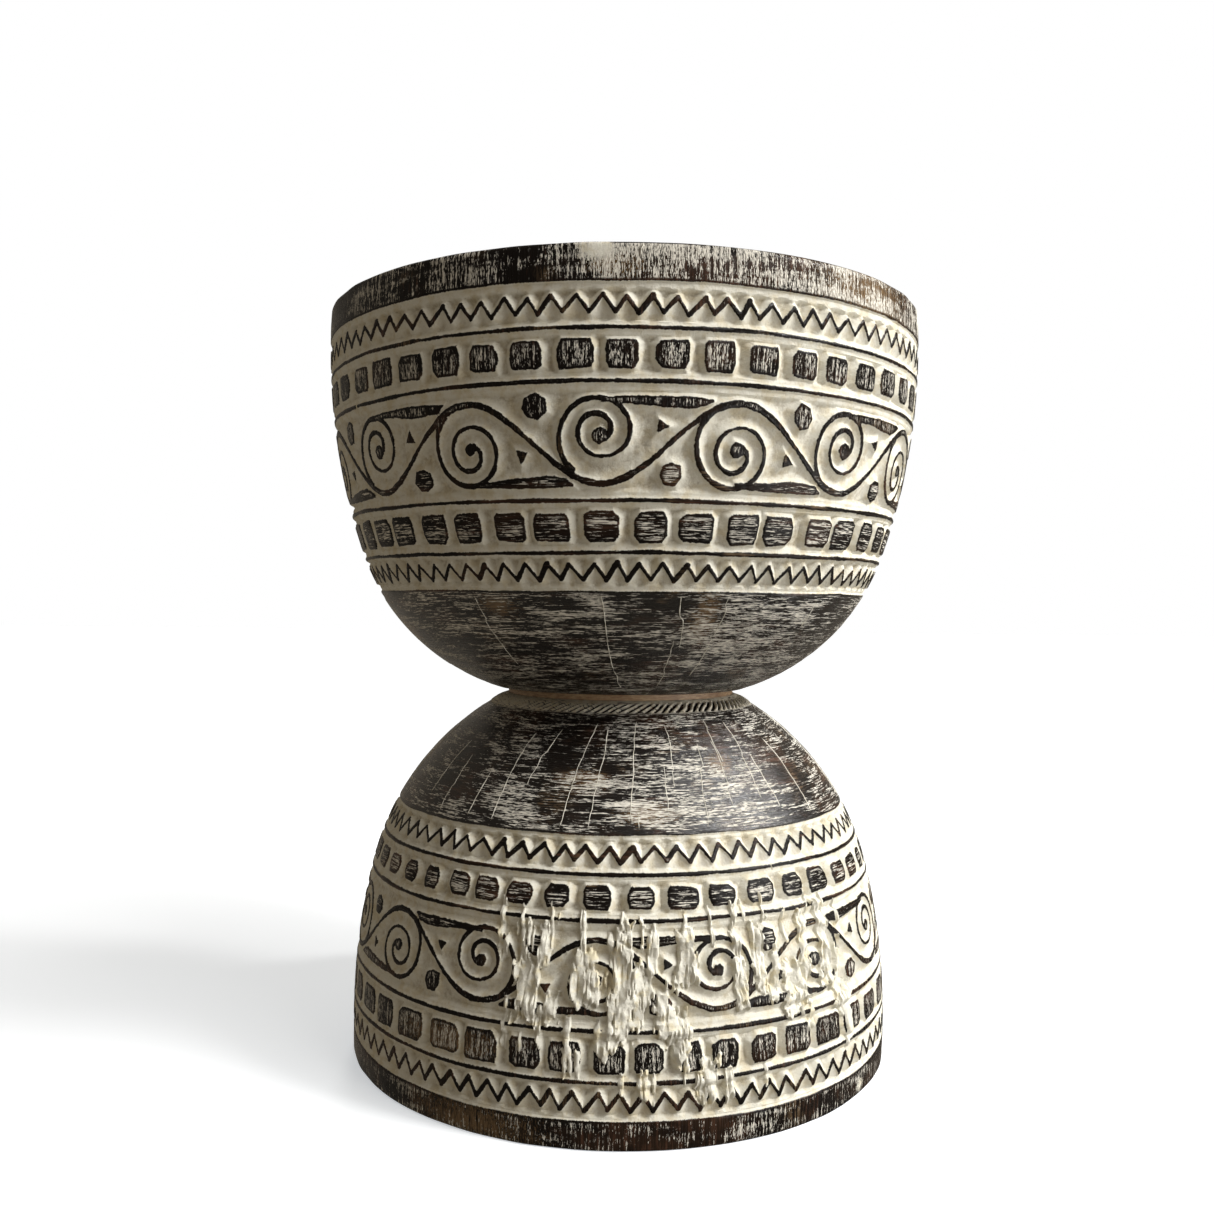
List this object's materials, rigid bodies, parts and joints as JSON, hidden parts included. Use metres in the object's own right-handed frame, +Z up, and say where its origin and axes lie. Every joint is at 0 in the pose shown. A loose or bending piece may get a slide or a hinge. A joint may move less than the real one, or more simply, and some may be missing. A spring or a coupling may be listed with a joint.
{
  "type": "carved wooden bowl",
  "caption": "Hourglass wooden vessel: an open turned bowl on an upturned bowl foot, joined at a narrow neck, chip-carved in bands with scrolls, pads and zigzags.",
  "frame": {"origin": "centre of the plane the foot rests on", "axes": "+Z up the turning axis; the object looks much the same from every side, and -Y is the side pictured"},
  "size_m": [0.327, 0.327, 0.4],
  "materials": {
    "upper_bowl_wood": "dark stain with rubbed limewash in the carving",
    "foot_bowl_wood": "dark stain with rubbed limewash in the carving",
    "collar_wood": "bare, satin",
    "dowel_wood": "bare"
  },
  "bodies": {
    "root": {"upper_bowl": "upper_bowl_wood", "foot_bowl": "foot_bowl_wood", "neck_collar": "collar_wood", "centre_dowel": "dowel_wood"}
  },
  "joints": []
}
